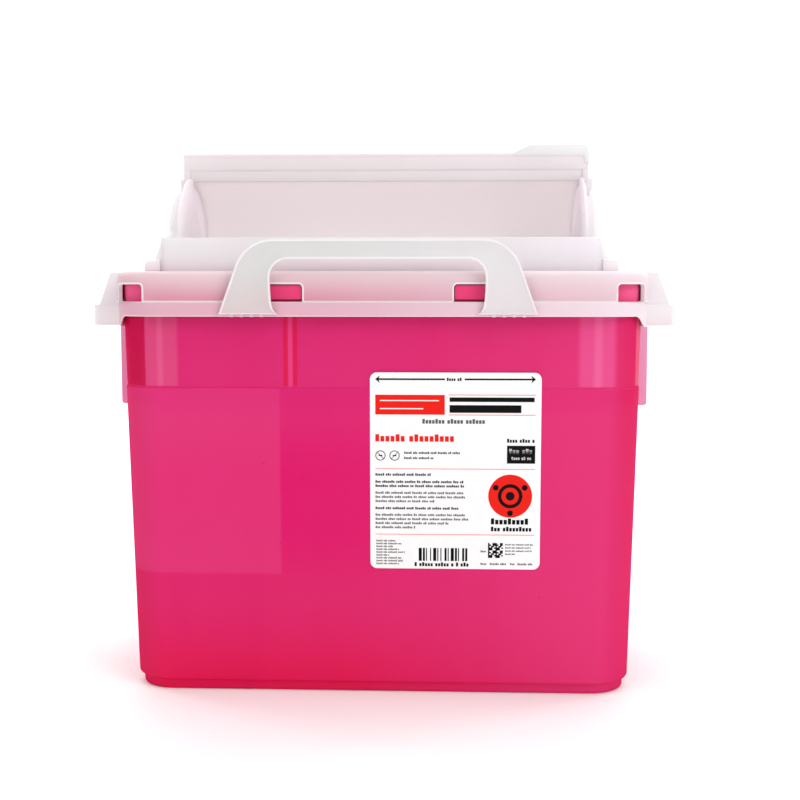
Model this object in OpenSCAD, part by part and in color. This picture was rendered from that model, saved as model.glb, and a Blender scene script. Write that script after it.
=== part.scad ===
// Counterbalanced sharps container: tapered tub, press-on lid, drum door and fold-down carry handle.
// Frame: +Z up, front towards -Y, origin under the middle of the object on the surface it stands on.
// Depths named *_in are measured backwards from the plane of the tub's front wall at the rim.

/* [Tub] */
// Width of the tub at the bottom
tub_w = 262; // [240:1:280]
// Depth of the tub at the rim
rim_d = 136; // [130:1:160]
// Height of the tub's rim above the ground
rim_z = 217.2; // [216:0.2:218]
// Draft of every tub wall, in millimetres of width for each millimetre of height
draft = 0.022; // [0:0.002:0.03]
// Wall thickness of the tub
tub_wall = 2; // [1.6:0.1:2.4]
// Corner radius of the tub in plan
tub_r = 22; // [16:1:28]
// Height of the step where the wall sets back
step_z = 160; // [150:1:175]
// Set-back of the wall above the step
step_in = 0.5; // [0.3:0.1:0.8]
// Height of the foot ring
foot_h = 5.5; // [3:0.5:8]
// Inset of the foot ring from the tub wall
foot_in = 2.5; // [1:0.5:5]

/* [Side rails] */
// Reach of a rail from the tub wall
rail_out = 5.9; // [3:0.1:6]
// Lower end of the rails
rail_z = 149; // [120:1:165]
// Height of the rails
rail_h = 41.6; // [25:0.1:41.6]
// Thickness of a rail
rail_t = 2; // [1.5:0.1:3]

/* [Lid] */
// Lower edge of the lid's skirt
skirt_z = 196.4; // [194:0.2:198]
// Top of the skirt band
band_z = 203.7; // [202:0.1:205]
// Top face of the lid's deck
deck_z = 219.2; // [219.2:0.2:219.2]
// Reach of the skirt in front of the tub's rim
skirt_out = 6; // [5.5:0.1:7]
// Reach of the dome in front of the tub's rim
dome_out = 3.5; // [3.2:0.1:4]
// Wall thickness of the lid
lid_wall = 2; // [1.6:0.1:2]
// Half of the width over the two grip ears
ear_half = 155; // [150:1:160]
// Lower edge of the grip ears
ear_z = 190.9; // [190.8:0.1:193]
// Top face of the grip ears beside their gussets
ear_shelf_z = 202.3; // [200:0.1:203.7]
// Depth at which the grip ears start
ear_in = 31; // [25:1:40]

/* [Chute] */
// Half of the width over the chute's side walls
chute_half = 113.8; // [113:0.1:115]
// Depth of the chute's front wall
chute_in = 11; // [9:0.5:11]
// Top edge of the chute's front wall
chute_z = 236.5; // [230:0.5:236.5]
// Top of the end ledges beside the chute
ledge_z = 225.4; // [223:0.1:228]
// Half of the width over the end ledges
ledge_half = 122.5; // [119:0.5:126]

/* [Drum door] */
// Depth of the drum's axis
pivot_in = 64; // [63:0.5:65]
// Height of the drum's axis
pivot_z = 233; // [232:0.5:234]
// Outer radius of the drum
drum_r = 38; // [35:0.5:38]
// Wall thickness of the drum
drum_wall = 1.6; // [1.5:0.1:2.5]
// Arc that the drum's wall covers, in degrees
drum_arc = 250; // [230:5:260]
// Outer radius of the door flange
flange_r = 51.6; // [50:0.1:51.6]
// Radius of a trunnion
trunnion_r = 6; // [4:0.5:8]
// Radial clearance of a trunnion in its cheek
trunnion_gap = 0.05; // [0.02:0.01:0.1]

/* [Handle] */
// Height of the handle's hinge line
hinge_z = 196.9; // [196.4:0.1:197.4]
// Top of the raised handle
handle_z = 234.9; // [225:0.1:245]
// Half of the handle's width at the hinge
handle_half = 79.8; // [75:0.5:90]
// Half of the width of the finger gap
grip_half = 53.8; // [45:0.5:58]
// Height of the grip bar
bar_h = 9.9; // [8:0.1:12]
// Thickness of the handle strap
strap_t = 2.6; // [2:0.1:3]

/* [Label] */
// Width of the label
label_w = 87; // [60:1:100]
// Height of the label
label_h = 101.5; // [60:0.5:110]
// Middle of the label, to the right of the tub's middle
label_x = 39.1; // [0:0.1:50]
// Middle of the label above the ground
label_z = 117.3; // [100:0.1:120]

/* [Hidden] */
$fn = 48;

// Reach of the raised handle's front face from the tub's front plane
strap_gap = 0.5;
handle_out = skirt_out + strap_gap + strap_t;
// The tub's front plane, set so that the whole object is centred on the origin
front_y = -(rim_d + skirt_out - handle_out) / 2;
mid_y = front_y + rim_d / 2;
draft_angle = atan(draft);

// Tub
tub_d = rim_d - 2 * draft * rim_z;
floor_t = 2;
rib_x = [-47.5, -42.5];
rib_foot_z = [step_z + 3.1, step_z + 0.2];
rib_top_z = rim_z - 1;
rib_w = 1.8;
rib_deep = 3;
short_rib_x = 48.2;
short_rib_h = 14;
rail_sink = 0.2;
rail_r = 1.5;
label_t = 0.3;
label_r = 3.5;
// How far a cutter runs past the faces it cuts
over = 1;

// Lid
dome_side_out = 2;
skirt_side_out = 2;
rim_clear = 0.4;
skirt_wall = skirt_side_out - rim_clear;
dome_half_x = tub_w / 2 + draft * deck_z + dome_side_out;
dome_half_y = rim_d / 2 + dome_out;
skirt_half_x = tub_w / 2 + draft * band_z - step_in + skirt_side_out;
skirt_half_y = rim_d / 2 + skirt_out;
dome_r = tub_r + 2;
skirt_r = tub_r + 5;
skirt_drop_x = 133;
window_z = 204.4;
window_h = 8.3;
window_x = [38, 62];
corner_window = [18, 16];
lug_out = 2.2;
lug_clear = 0.6;
ear_back_in = rim_d - ear_in;
ear_top_x = 145.8;
ear_base_x = 151.4;
ear_chamfer = 3;
ledge_front_gap = 3;
ledge_back_gap = 1;

// Chute
deck_under = deck_z - lid_wall;
mouth_half = 110;
mouth_in = [27, 101];
cheek_t = 1.8;
cheek_r = 31;
sill_z = 240.6;
sill_in = 35;
chute_back_in = mouth_in[1] + 2;
gusset_foot = 3.5;
gusset_in = [4, 6];

// Drum door
drum_half = 108;
flange_half = 111.3;
flange_t = 2.4;
lip_root_r = 42.4;
lip_t = 3.4;
trunnion_end = 115;
tab_x = [69.7, 79.4];
tab_rise = 4.4;
tab_r = 4.2;
stop_size = [5, 4, 10];
stop_sink = 3;

// Handle
axis_back = 0.2;
hinge_y = front_y - handle_out + axis_back;
web_r = 0.7;
web_x = [58, 63, 68, 73];
web_w = 1.6;
foot_z = hinge_z + 0.6;
foot_inset = 2;
shoulder_r = 20;
shoulder_x = 52.2;
leg_lean = 20;
grip_r = 9;

// Depth of the front wall's outer face at a height above the step
function upper_face_in(z) = step_in + draft * (rim_z - z);

// Draws a rectangle with round corners about the origin
module round_rect(size, r) {
    hull()
        for (sx = [-1, 1], sy = [-1, 1])
            translate([sx * (size[0] / 2 - r), sy * (size[1] / 2 - r)])
                circle(r, $fn = 32);
}

// Draws the same rectangle from four exact arcs, for walls that need true faces
module exact_rect(size, r) {
    square([size[0] - 2 * r, size[1]], center = true);
    square([size[0], size[1] - 2 * r], center = true);
    for (sx = [-1, 1], sy = [-1, 1])
        translate([sx * (size[0] / 2 - r), sy * (size[1] / 2 - r)])
            circle(r);
}

// Makes a block that widens with the tub's draft from z0 to z1, set in from the tub's outer face
module drafted_block(z0, z1, inset) {
    w0 = tub_w + 2 * draft * z0 - 2 * inset;
    d0 = tub_d + 2 * draft * z0 - 2 * inset;
    grow = 2 * draft * (z1 - z0);
    translate([0, mid_y, z0])
        linear_extrude(z1 - z0, scale = [(w0 + grow) / w0, (d0 + grow) / d0], slices = 1)
            round_rect([w0, d0], tub_r - inset);
}

// Extrudes a plan shape between two heights about the middle of the tub
module plan(z0, z1) {
    translate([0, mid_y, z0])
        linear_extrude(z1 - z0)
            children();
}

// Extrudes a side profile, drawn as [depth, height], between two X positions
module side_profile(x0, x1) {
    translate([x0, front_y, 0])
        rotate([90, 0, 90])
            linear_extrude(x1 - x0)
                children();
}

// Extrudes a front profile, drawn as [x, height], between two depths
module front_profile(in0, in1) {
    translate([0, front_y + in1, 0])
        rotate([90, 0, 0])
            linear_extrude(in1 - in0)
                children();
}

// Puts the drum's own frame, with its axis along X, in place
module at_pivot() {
    translate([0, front_y + pivot_in, pivot_z])
        children();
}

// Turns a shape drawn for the right side over to the left when side is -1
module on_side(side) {
    if (side > 0)
        children();
    else
        mirror([1, 0, 0])
            children();
}

module container_shell() {
    color([0.89, 0.14, 0.44])
        difference() {
            union() {
                drafted_block(foot_h, step_z, 0);
                drafted_block(step_z, rim_z, step_in);
            }
            drafted_block(foot_h + floor_t, step_z, tub_wall);
            drafted_block(step_z, rim_z + over, tub_wall + step_in);
        }
}

module foot_ring() {
    ring_w = tub_w - 2 * foot_in;
    ring_d = tub_d - 2 * foot_in;
    ring_r = tub_r - foot_in;
    color([0.82, 0.18, 0.29])
        plan(0, foot_h)
            difference() {
                exact_rect([ring_w, ring_d], ring_r);
                exact_rect([ring_w - 2 * tub_wall, ring_d - 2 * tub_wall], ring_r - tub_wall);
            }
}

// Places one upright rib on the inside of the front wall, from z0 up to just under the rim
module wall_rib(x, z0) {
    root = [upper_face_in(z0) + tub_wall, upper_face_in(rib_top_z) + tub_wall];
    side_profile(x - rib_w / 2, x + rib_w / 2)
        polygon([
            [root[0], z0],
            [root[1], rib_top_z],
            [root[1] + rib_deep, rib_top_z],
            [root[0] + rib_deep, z0]
        ]);
}

module nesting_ribs() {
    color([0.88, 0.1, 0.3]) {
        wall_rib(rib_x[0], rib_foot_z[0]);
        wall_rib(rib_x[1], rib_foot_z[1]);
        wall_rib(short_rib_x, rim_z - short_rib_h);
    }
}

module side_rails(side) {
    root_x = tub_w / 2 + draft * rail_z;
    color([0.96, 0.7, 0.78])
        on_side(side)
            for (depth = [ear_in, rim_d - ear_in - rail_t])
                front_profile(depth, depth + rail_t)
                    difference() {
                        translate([root_x - rail_sink, rail_z])
                            union() {
                                translate([0, rail_r])
                                    square([rail_out, rail_h - rail_r]);
                                square([rail_out - rail_r, rail_r]);
                                translate([rail_out - rail_r, rail_r])
                                    circle(rail_r);
                            }
                        tub_side();
                    }
}

// Draws the section of the tub's right half, which the rails meet
module tub_side() {
    polygon([
        [0, 0],
        [tub_w / 2, 0],
        [tub_w / 2 + draft * step_z, step_z],
        [tub_w / 2 + draft * step_z - step_in, step_z],
        [tub_w / 2 + draft * rim_z - step_in, rim_z],
        [0, rim_z]
    ]);
}

// Makes the lugs of the front wall, one for each middle window
module lug_row() {
    z0 = window_z + lug_clear;
    z1 = window_z + window_h - lug_clear;
    for (side = [-1, 1])
        on_side(side)
            side_profile(window_x[0] + lug_clear, window_x[1] - lug_clear)
                polygon([
                    [-lug_out, z0],
                    [upper_face_in(z0), z0],
                    [upper_face_in(z1), z1],
                    [-lug_out, z1]
                ]);
}

module snap_lugs(back) {
    color([0.91, 0.22, 0.44])
        if (back)
            translate([0, 2 * mid_y, 0])
                mirror([0, 1, 0])
                    lug_row();
        else
            lug_row();
}

module front_label() {
    face_in = draft * (rim_z - label_z);
    color("white")
        translate([label_x, front_y + face_in, label_z])
            rotate([90 + draft_angle, 0, 0])
                linear_extrude(label_t)
                    exact_rect([label_w, label_h], label_r);
}

// Draws the plan of the skirt's upright wall
module skirt_ring() {
    difference() {
        exact_rect([2 * skirt_half_x, 2 * skirt_half_y], skirt_r);
        exact_rect([2 * (skirt_half_x - skirt_wall), 2 * (skirt_half_y - skirt_wall)], skirt_r - skirt_wall);
    }
}

// The skirt hangs lower along both ends than along the front and back
module lid_skirt() {
    grow = 2 * (draft * band_z - step_in + rim_clear);
    seat = [tub_w + grow, tub_d + grow];
    color([0.93, 0.78, 0.84]) {
        plan(skirt_z, band_z - lid_wall)
            skirt_ring();
        plan(ear_z, skirt_z)
            difference() {
                skirt_ring();
                square([2 * skirt_drop_x, 4 * skirt_half_y], center = true);
            }
        plan(band_z - lid_wall, band_z)
            difference() {
                exact_rect([2 * skirt_half_x, 2 * skirt_half_y], skirt_r);
                exact_rect(seat, tub_r);
            }
    }
}

// Makes the four window cutters of one long wall: two flat ones and one round each corner
module windows() {
    wall_in = [-dome_out - over, lid_wall - dome_out + over];
    for (side = [-1, 1])
        on_side(side) {
            translate([window_x[0], front_y + wall_in[0], window_z])
                cube([window_x[1] - window_x[0], wall_in[1] - wall_in[0], window_h]);
            translate([dome_half_x - corner_window[0], front_y - dome_out - corner_window[1], window_z])
                cube([2 * corner_window[0], 2 * corner_window[1], window_h]);
        }
}

module lid_dome() {
    outer = [2 * dome_half_x, 2 * dome_half_y];
    mouth_d = mouth_in[1] - mouth_in[0];
    color([0.93, 0.75, 0.81])
        difference() {
            plan(band_z, deck_z)
                exact_rect(outer, dome_r);
            plan(band_z - over, deck_under)
                exact_rect([outer[0] - 2 * lid_wall, outer[1] - 2 * lid_wall], dome_r - lid_wall);
            translate([-mouth_half, front_y + mouth_in[0], deck_under - over])
                cube([2 * mouth_half, mouth_d, lid_wall + 2 * over]);
            windows();
            translate([0, 2 * mid_y, 0])
                mirror([0, 1, 0])
                    windows();
        }
}

// Draws the front view of a grip ear, grown inwards by t when it is the hollow
module ear_outline(t) {
    low = t > 0 ? ear_z - over : ear_z;
    polygon([
        [dome_half_x, deck_z - t],
        [ear_top_x - t, deck_z - t],
        [ear_base_x - t, ear_shelf_z - t],
        [ear_half - ear_chamfer, ear_shelf_z - t],
        [ear_half - t, ear_shelf_z - ear_chamfer],
        [ear_half - t, low],
        [skirt_half_x, low],
        [skirt_half_x, band_z],
        [dome_half_x, band_z]
    ]);
}

module grip_ear(side) {
    color([0.93, 0.89, 0.9])
        on_side(side)
            difference() {
                front_profile(ear_in, ear_back_in)
                    ear_outline(0);
                front_profile(ear_in + lid_wall, ear_back_in - lid_wall)
                    ear_outline(lid_wall);
            }
}

module end_ledge(side) {
    front_in = chute_in + ledge_front_gap;
    size = [ledge_half - chute_half, chute_back_in - ledge_back_gap - front_in, ledge_z - deck_z];
    hollow = [size[0] - 2 * lid_wall, size[1] - 2 * lid_wall, size[2] - lid_wall + over];
    color([0.95, 0.88, 0.91])
        on_side(side)
            translate([chute_half, front_y + front_in, deck_z])
                difference() {
                    cube(size);
                    translate([lid_wall, lid_wall, -over])
                        cube(hollow);
                }
}

module chute_front_wall() {
    color([0.95, 0.93, 0.95])
        translate([-chute_half, front_y + chute_in, deck_z])
            cube([2 * chute_half, lid_wall, chute_z - deck_z]);
}

module chute_back_wall() {
    color([0.95, 0.93, 0.95])
        translate([-chute_half, front_y + chute_back_in, deck_z])
            cube([2 * chute_half, lid_wall, chute_z - deck_z]);
}

// Draws a cheek from the side: the sill, the round hub housing and the trunnion's bore
module cheek_outline() {
    front_in = chute_in + lid_wall;
    difference() {
        union() {
            polygon([
                [front_in, deck_z],
                [chute_back_in, deck_z],
                [chute_back_in, chute_z],
                [2 * pivot_in - sill_in, sill_z],
                [sill_in, sill_z],
                [front_in, chute_z]
            ]);
            translate([pivot_in, pivot_z])
                circle(cheek_r);
        }
        translate([pivot_in, pivot_z])
            circle(trunnion_r + trunnion_gap);
        translate([pivot_in - cheek_r - over, deck_z - cheek_r])
            square([2 * (cheek_r + over), cheek_r]);
    }
}

module cheek(side) {
    color([0.96, 0.93, 0.95])
        on_side(side) {
            side_profile(chute_half - cheek_t, chute_half)
                cheek_outline();
            front_profile(chute_in + gusset_in[0], chute_in + gusset_in[1])
                polygon([
                    [chute_half, ledge_z],
                    [chute_half + gusset_foot, ledge_z],
                    [chute_half, chute_z]
                ]);
        }
}

// Makes the two stops behind the raised flange, on top of the cheeks
module door_stops() {
    stop_at = [chute_half - stop_size[0], front_y + pivot_in + flange_t / 2, pivot_z + cheek_r - stop_sink];
    color([0.96, 0.94, 0.96])
        for (side = [-1, 1])
            on_side(side)
                difference() {
                    translate(stop_at)
                        cube(stop_size);
                    side_profile(chute_half - cheek_t, chute_half)
                        translate([pivot_in, pivot_z])
                            circle(cheek_r);
                }
}

// Draws a sector of a ring between two angles, measured from straight back towards up
module ring_sector(r0, r1, a0, a1) {
    steps = 10;
    reach = 2 * r1;
    intersection() {
        difference() {
            circle(r1, $fn = 96);
            circle(r0, $fn = 96);
        }
        polygon(concat(
            [[0, 0]],
            [for (i = [0:steps]) reach * [cos(a0 + (a1 - a0) * i / steps), sin(a0 + (a1 - a0) * i / steps)]]
        ));
    }
}

module drum_shell() {
    inner_half = drum_half - drum_wall;
    color([0.92, 0.87, 0.88])
        side_profile(-inner_half, inner_half)
            translate([pivot_in, pivot_z])
                ring_sector(drum_r - drum_wall, drum_r, 90 - drum_arc, 90);
}

module drum_end(side) {
    color([0.94, 0.88, 0.91])
        on_side(side)
            side_profile(drum_half - drum_wall, drum_half)
                translate([pivot_in, pivot_z])
                    circle(drum_r);
}

module trunnion(side) {
    color([0.95, 0.93, 0.95])
        on_side(side)
            at_pivot()
                translate([drum_half, 0, 0])
                    rotate([0, 90, 0])
                        cylinder(r = trunnion_r, h = trunnion_end - drum_half);
}

module door_flange() {
    color([0.91, 0.87, 0.89])
        difference() {
            at_pivot()
                translate([-flange_half, -flange_t / 2, 0])
                    cube([2 * flange_half, flange_t, lip_root_r]);
            side_profile(-flange_half - over, flange_half + over)
                translate([pivot_in, pivot_z])
                    circle(drum_r, $fn = 96);
        }
}

module door_lip() {
    color([0.94, 0.92, 0.93])
        at_pivot()
            translate([-flange_half, flange_t / 2 - lip_t, lip_root_r])
                cube([2 * flange_half, lip_t, flange_r - lip_root_r]);
}

module thumb_tab() {
    base_z = pivot_z + flange_r;
    corner = [flange_half - tab_r, base_z + tab_rise - tab_r];
    color([0.93, 0.94, 0.93])
        front_profile(pivot_in + flange_t / 2 - lip_t, pivot_in + flange_t / 2)
            difference() {
                union() {
                    polygon([
                        [tab_x[0], base_z],
                        [flange_half, base_z],
                        [flange_half, corner[1]],
                        [corner[0], base_z + tab_rise],
                        [tab_x[1], base_z + tab_rise]
                    ]);
                    translate(corner)
                        circle(tab_r);
                }
                translate([corner[0] - tab_r - over, base_z - 2 * tab_r])
                    square([2 * (tab_r + over), 2 * tab_r]);
            }
}

// Draws the raised handle: two leaning legs, round shoulders and the bar over the finger gap
module handle_outline() {
    bar_under = handle_z - bar_h;
    shoulder_z = handle_z - shoulder_r;
    inner = [for (a = [90:-15:0]) [grip_half - grip_r, bar_under - grip_r] + grip_r * [cos(a), sin(a)]];
    feet = [[grip_half - foot_inset, foot_z], [handle_half, foot_z]];
    shoulder = [for (a = [leg_lean:10:90]) [shoulder_x, shoulder_z] + shoulder_r * [cos(a), sin(a)]];
    right = concat(inner, feet, shoulder);
    left = [for (i = [len(right) - 1:-1:0]) [-right[i][0], right[i][1]]];
    polygon(concat(right, left));
}

module handle_strap() {
    color([0.9, 0.87, 0.87])
        front_profile(-handle_out, -handle_out + strap_t)
            handle_outline();
}

// Makes the short webs of the moulded hinge under one leg, each round the hinge line
module hinge_webs(side) {
    color([0.95, 0.93, 0.93])
        on_side(side)
            for (x = web_x)
                translate([x - web_w / 2, hinge_y, hinge_z])
                    difference() {
                        rotate([0, 90, 0])
                            cylinder(r = web_r, h = web_w, $fn = 24);
                        translate([-over, -web_r - over, foot_z - hinge_z])
                            cube([web_w + 2 * over, 2 * (web_r + over), web_r]);
                    }
}

container_shell();
foot_ring();
nesting_ribs();
side_rails(-1);  // side_rails_left
side_rails(1);  // side_rails_right
snap_lugs(false);  // snap_lugs_front
snap_lugs(true);  // snap_lugs_back
front_label();
lid_skirt();
lid_dome();
grip_ear(-1);  // grip_ear_left
grip_ear(1);  // grip_ear_right
end_ledge(-1);  // end_ledge_left
end_ledge(1);  // end_ledge_right
chute_front_wall();
chute_back_wall();
cheek(-1);  // cheek_left
cheek(1);  // cheek_right
door_stops();
drum_shell();
drum_end(-1);  // drum_end_left
drum_end(1);  // drum_end_right
trunnion(-1);  // trunnion_left
trunnion(1);  // trunnion_right
door_flange();
door_lip();
thumb_tab();
handle_strap();
hinge_webs(-1);  // hinge_webs_left
hinge_webs(1);  // hinge_webs_right
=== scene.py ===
"""Looks of the sharps container: a magenta tub, a milky press-on lid, a drum door and a strap handle.

Everything is in metres in the shared frame: +Z up, the front towards -Y. Lengths below are in millimetres and
are turned into metres where a mesh is made.
"""

import math

import bmesh
import bpy
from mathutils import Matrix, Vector


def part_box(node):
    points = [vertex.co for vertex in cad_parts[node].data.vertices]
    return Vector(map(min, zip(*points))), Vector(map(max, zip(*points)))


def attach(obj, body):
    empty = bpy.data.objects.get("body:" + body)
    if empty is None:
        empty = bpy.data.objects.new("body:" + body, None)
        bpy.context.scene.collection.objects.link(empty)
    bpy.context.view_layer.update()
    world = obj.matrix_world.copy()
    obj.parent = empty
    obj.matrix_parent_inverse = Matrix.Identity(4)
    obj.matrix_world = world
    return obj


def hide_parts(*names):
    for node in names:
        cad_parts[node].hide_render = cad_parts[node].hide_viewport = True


MM = 0.001

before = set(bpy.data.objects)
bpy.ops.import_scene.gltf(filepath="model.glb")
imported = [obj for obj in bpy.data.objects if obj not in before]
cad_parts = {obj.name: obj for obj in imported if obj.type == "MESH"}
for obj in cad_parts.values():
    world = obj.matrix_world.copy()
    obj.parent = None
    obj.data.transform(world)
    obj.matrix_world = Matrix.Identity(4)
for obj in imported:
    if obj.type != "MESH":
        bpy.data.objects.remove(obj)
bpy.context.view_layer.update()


# ---------------- measures taken from the frame


def box_mm(node):
    """Lowest and highest corner of a CAD node, in millimetres."""
    low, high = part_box(node)
    return low / MM, high / MM


shell_low, shell_high = box_mm("container_shell")
foot_low, foot_high = box_mm("foot_ring")
skirt_low, skirt_high = box_mm("lid_skirt")
dome_low, dome_high = box_mm("lid_dome")
ear_low, ear_high = box_mm("grip_ear_right")
ledge_low, ledge_high = box_mm("end_ledge_right")
front_wall_low, front_wall_high = box_mm("chute_front_wall")
back_wall_low, back_wall_high = box_mm("chute_back_wall")
cheek_low, cheek_high = box_mm("cheek_right")
drum_low, drum_high = box_mm("drum_end_right")
axle_low, axle_high = box_mm("trunnion_right")
flange_low, flange_high = box_mm("door_flange")
lip_low, lip_high = box_mm("door_lip")
tab_low, tab_high = box_mm("thumb_tab")
strap_low, strap_high = box_mm("handle_strap")
web_low, web_high = box_mm("hinge_webs_right")
label_low, label_high = box_mm("front_label")
rail_low, rail_high = box_mm("side_rails_right")

STEP_Z = 160.0
STEP_IN = 0.5
TUB_WALL = 2.0
TUB_R = 22.0
FOOT_IN = 2.5
LID_WALL = 2.0
MID_Y = (foot_low.y + foot_high.y) / 2
FOOT_H = foot_high.z
RIM_Z = shell_high.z
BASE_HALF_X = foot_high.x + FOOT_IN
BASE_HALF_Y = (foot_high.y - foot_low.y) / 2 + FOOT_IN
DRAFT = (shell_high.x + STEP_IN - BASE_HALF_X) / RIM_Z
FRONT_Y = MID_Y - BASE_HALF_Y - DRAFT * RIM_Z
PIVOT_Y = (drum_low.y + drum_high.y) / 2
PIVOT_Z = (drum_low.z + drum_high.z) / 2
DRUM_R = (drum_high.z - drum_low.z) / 2
DECK_Z = dome_high.z
BAND_Z = dome_low.z
SKIRT_Z = 196.4
EAR_Z = ear_low.z


# ---------------- camera, from the photograph's viewing angle


def add_camera():
    """Stands in front of the tub, a little right of its middle, turned slightly left and down."""
    distance, height, aside = 620.0, 209.7, 37.5
    turn_left, look_down = math.radians(2.45), math.radians(5.12)
    data = bpy.data.cameras.new("camera")
    data.sensor_width = 36.0
    data.lens = 55.25
    data.clip_start, data.clip_end = 0.01, 20.0
    camera = bpy.data.objects.new("camera", data)
    camera.location = Vector((aside, FRONT_Y - distance, height)) * MM
    camera.rotation_euler = (math.pi / 2 - look_down, 0.0, turn_left)
    bpy.context.scene.collection.objects.link(camera)
    bpy.context.scene.camera = camera


add_camera()


# ---------------- mesh helpers


def new_piece(name, verts, faces, material, angle=38.0):
    """Makes a mesh piece from points in millimetres, smooth except at edges sharper than the angle."""
    mesh = bpy.data.meshes.new(name)
    mesh.from_pydata([Vector(v) * MM for v in verts], [], faces)
    mesh.validate()
    piece = bpy.data.objects.new(name, mesh)
    bpy.context.scene.collection.objects.link(piece)
    mesh.materials.append(material)
    tidy_normals(mesh, angle)
    return piece


def tidy_normals(mesh, angle=38.0):
    """Turns every face outwards and marks edges sharper than the angle."""
    work = bmesh.new()
    work.from_mesh(mesh)
    bmesh.ops.remove_doubles(work, verts=work.verts, dist=1e-6)
    bmesh.ops.recalc_face_normals(work, faces=work.faces)
    work.to_mesh(mesh)
    work.free()
    for polygon in mesh.polygons:
        polygon.use_smooth = True
    mesh.set_sharp_from_angle(angle=math.radians(angle))


def arc(cx, cy, r, a0, a1, n):
    """Points on an arc from angle a0 to a1 in degrees."""
    angles = [math.radians(a0 + (a1 - a0) * i / n) for i in range(n + 1)]
    return [(cx + r * math.cos(a), cy + r * math.sin(a)) for a in angles]


def quarter(steps):
    """Angles of a quarter turn from 0, in radians."""
    return [math.radians(90 * k / steps) for k in range(steps + 1)]


def plan_loop(half_x, half_y, r, centre_y=None, corner=14, side=6):
    """Round-cornered rectangle in plan, anticlockwise from the right side's front end."""
    cy = MID_Y if centre_y is None else centre_y
    points = []
    for sx, sy, a0 in ((1, 1, 0), (-1, 1, 90), (-1, -1, 180), (1, -1, 270)):
        points.append(arc(sx * (half_x - r), cy + sy * (half_y - r), r, a0, a0 + 90, corner))
    loop = []
    for i, corner_points in enumerate(points):
        loop += corner_points
        start, end = corner_points[-1], points[(i + 1) % 4][0]
        for k in range(1, side):
            t = k / side
            loop.append((start[0] + (end[0] - start[0]) * t, start[1] + (end[1] - start[1]) * t))
    return loop


def loft(name, rings, material, cap_start=False, cap_end=False, closed=False, angle=38.0):
    """Skins a stack of rings, each a list of (x, y, z) with the same count."""
    count = len(rings[0])
    verts = [p for ring in rings for p in ring]
    faces = []
    last = len(rings) if closed else len(rings) - 1
    for i in range(last):
        a, b = i * count, (i + 1) % len(rings) * count
        for k in range(count):
            n = (k + 1) % count
            faces.append((a + k, a + n, b + n, b + k))
    if cap_start:
        faces.append(tuple(range(count - 1, -1, -1)))
    if cap_end:
        base = (len(rings) - 1) * count
        faces.append(tuple(range(base, base + count)))
    return new_piece(name, verts, faces, material, angle)


def prism(name, outline, low, high, axis, material, angle=38.0):
    """Extrudes an outline from low to high: along y it takes (x, z) points, and along x it takes (y, z)."""
    if axis == "y":
        rings = [[(u, t, v) for u, v in outline] for t in (low, high)]
    else:
        rings = [[(t, u, v) for u, v in outline] for t in (low, high)]
    return loft(name, rings, material, cap_start=True, cap_end=True, angle=angle)


def freeze(piece, angle=38.0):
    """Applies the modifiers of a piece to its mesh."""
    depsgraph = bpy.context.evaluated_depsgraph_get()
    mesh = bpy.data.meshes.new_from_object(piece.evaluated_get(depsgraph))
    piece.modifiers.clear()
    piece.data = mesh
    tidy_normals(mesh, angle)
    return piece


def cut(piece, *cutters, angle=38.0):
    """Takes the cutters' volume out of a piece and removes them."""
    for cutter in cutters:
        boolean = piece.modifiers.new("cut", "BOOLEAN")
        boolean.operation = "DIFFERENCE"
        boolean.solver = "EXACT"
        boolean.object = cutter
    bpy.context.view_layer.update()
    freeze(piece, angle)
    for cutter in cutters:
        bpy.data.objects.remove(cutter)
    return piece


def soften(piece, width=0.5, segments=3, angle=38.0, apply=True):
    """Rounds the sharp edges of a piece by a width in millimetres."""
    bevel = piece.modifiers.new("round_edges", "BEVEL")
    bevel.width = width * MM
    bevel.segments = segments
    bevel.limit_method = "ANGLE"
    bevel.angle_limit = math.radians(angle)
    bevel.miter_outer = "MITER_ARC"
    bevel.use_clamp_overlap = True
    return freeze(piece, angle=60.0) if apply else piece


def join(name, pieces):
    """Joins pieces into the first one under a new name."""
    whole = bmesh.new()
    for piece in pieces:
        whole.from_mesh(piece.data)
    mesh = bpy.data.meshes.new(name)
    whole.to_mesh(mesh)
    whole.free()
    for material in pieces[0].data.materials:
        mesh.materials.append(material)
    joined = bpy.data.objects.new(name, mesh)
    bpy.context.scene.collection.objects.link(joined)
    for piece in pieces:
        bpy.data.objects.remove(piece)
    for polygon in mesh.polygons:
        polygon.use_smooth = True
    mesh.set_sharp_from_angle(angle=math.radians(45))
    return joined


def smooth_step(t):
    """Eases from 0 to 1."""
    t = min(1.0, max(0.0, t))
    return t * t * (3 - 2 * t)


# ---------------- materials


def linear(rgb):
    """Turns 8-bit sRGB into linear colour."""
    out = []
    for c in rgb:
        c /= 255.0
        out.append(c / 12.92 if c <= 0.04045 else ((c + 0.055) / 1.055) ** 2.4)
    return (*out, 1.0)


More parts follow.
